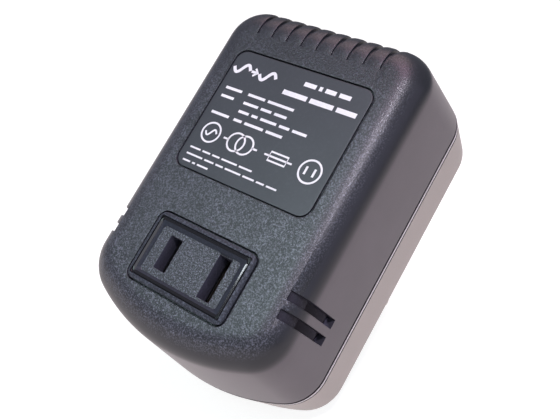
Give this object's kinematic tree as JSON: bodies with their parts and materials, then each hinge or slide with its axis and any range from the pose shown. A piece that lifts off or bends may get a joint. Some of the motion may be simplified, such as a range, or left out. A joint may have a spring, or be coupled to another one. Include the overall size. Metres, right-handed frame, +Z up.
{
  "type": "voltage converter",
  "caption": "Plug-in mains step-down converter: rounded case with slits, flat-blade outlet on the front and a round-pin plug boss behind.",
  "frame": {"origin": "centre of the plug boss's contact face, halfway between the two plug pins", "axes": "+Z up along the case's height towards the slits, +Y towards the wall along the plug pins, +X to the right seen from the outlet side"},
  "size_m": [0.0526, 0.0761, 0.0806],
  "materials": {
    "case_black": "fine spark-eroded texture",
    "cover_black": "fine spark-eroded texture",
    "plate": "smooth satin",
    "insert_black": "satin",
    "carrier_grey": "matt moulding",
    "contact_brass": "bright strip",
    "pin_metal": "nickel plated",
    "sleeve_black": "satin",
    "screw_steel": "zinc plated",
    "lamination_steel": "rolled sheet edges",
    "bobbin_nylon": "matt moulding",
    "winding_copper": "enamelled wire",
    "tape_yellow": "glossy film",
    "fuse_body": "satin",
    "lead_black": "soft insulation",
    "lead_blue": "soft insulation",
    "lead_red": "soft insulation"
  },
  "bodies": {
    "root": {"front_shell": "case_black", "back_cover": "cover_black", "rating_plate": "plate", "outlet_insert": "insert_black", "outlet_rear_cap": "carrier_grey", "contact_narrow": "contact_brass", "contact_wide": "contact_brass", "outlet_screws": "screw_steel", "case_screws": "screw_steel", "plug_pin_left": "pin_metal", "plug_pin_right": "pin_metal", "pin_sleeve_left": "sleeve_black", "pin_sleeve_right": "sleeve_black", "pin_retainer": "carrier_grey", "core_e_stack": "lamination_steel", "core_i_stack": "lamination_steel", "bobbin": "bobbin_nylon", "series_winding": "winding_copper", "common_winding": "winding_copper", "series_tape": "tape_yellow", "common_tape": "tape_yellow", "thermal_fuse": "fuse_body", "lead_line": "lead_black", "lead_fuse": "lead_black", "lead_neutral": "lead_blue", "lead_tap": "lead_red", "lead_outlet_neutral": "lead_blue"}
  },
  "joints": []
}
